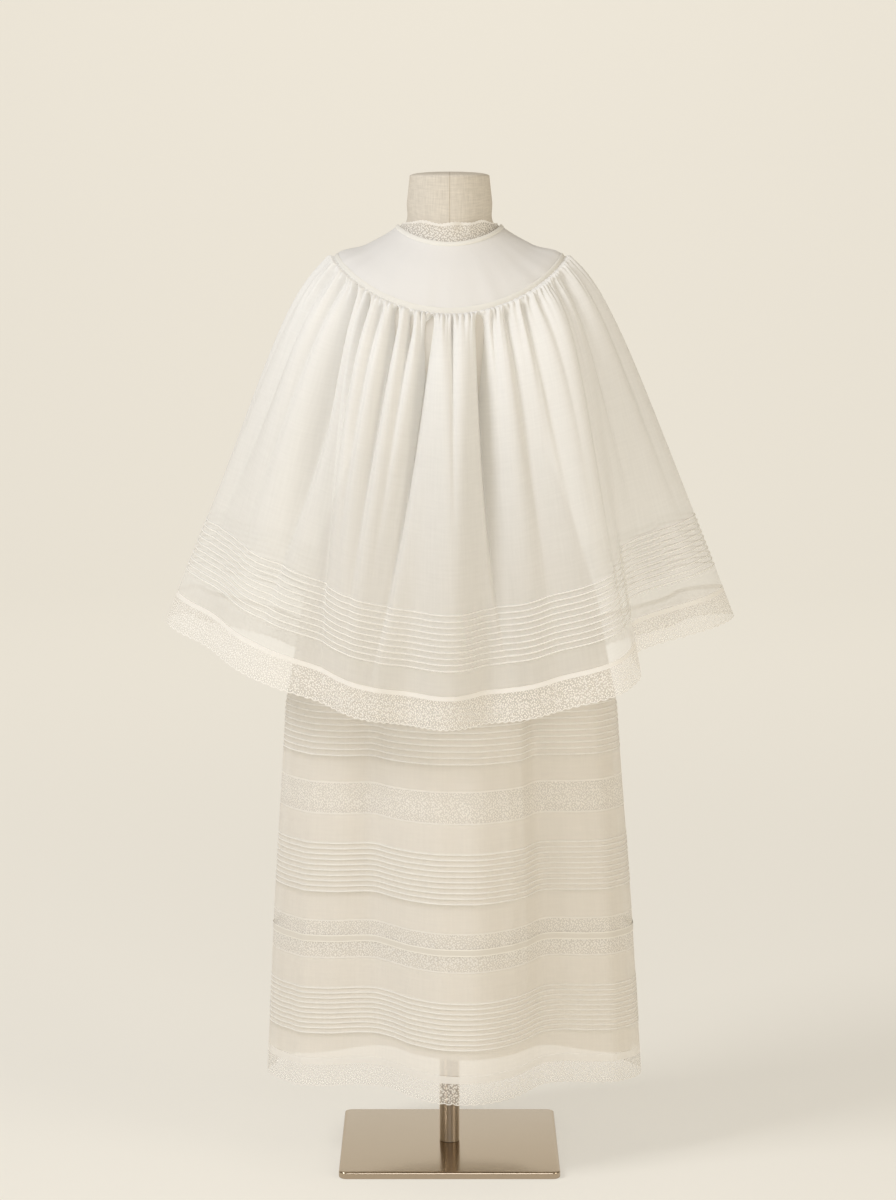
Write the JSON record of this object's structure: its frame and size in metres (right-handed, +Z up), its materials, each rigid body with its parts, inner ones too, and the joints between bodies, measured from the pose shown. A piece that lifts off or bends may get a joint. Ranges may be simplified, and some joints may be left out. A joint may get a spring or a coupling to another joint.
{
  "type": "christening gown with shoulder cape on a dress form and stand",
  "caption": "Long sheer organdy christening gown with pintucks and lace bands under a gathered lace-edged shoulder cape, worn by a limbless dress form on a pole and plate.",
  "frame": {"origin": "centre of the underside of the base plate", "axes": "+Z up along the pole, +Y out of the front of the gown where the cape opens, +X towards the right of a viewer who looks at its back"},
  "size_m": [0.5554, 0.3244, 0.9712],
  "materials": {
    "stand_steel": "fine brushed",
    "form_linen": "plain linen weave",
    "organdy": "sheer crisp cotton",
    "lace": "fine openwork cotton lace",
    "slip_lawn": "soft cotton lawn",
    "ribbon_satin": "satin"
  },
  "bodies": {
    "root": {"base_plate": "stand_steel", "pole": "stand_steel", "dress_form": "form_linen", "bodice_back": "organdy", "bodice_front": "organdy", "neck_lace": "lace", "cape_yoke": "organdy", "neck_binding": "organdy", "yoke_piping": "organdy", "cape": "organdy", "cape_lace": "lace", "skirt_upper": "organdy", "skirt_middle": "organdy", "skirt_lower": "organdy", "insertion_upper": "lace", "insertion_lower": "lace", "hem_lace": "lace", "slip": "slip_lawn", "ribbon": "ribbon_satin"}
  },
  "joints": []
}
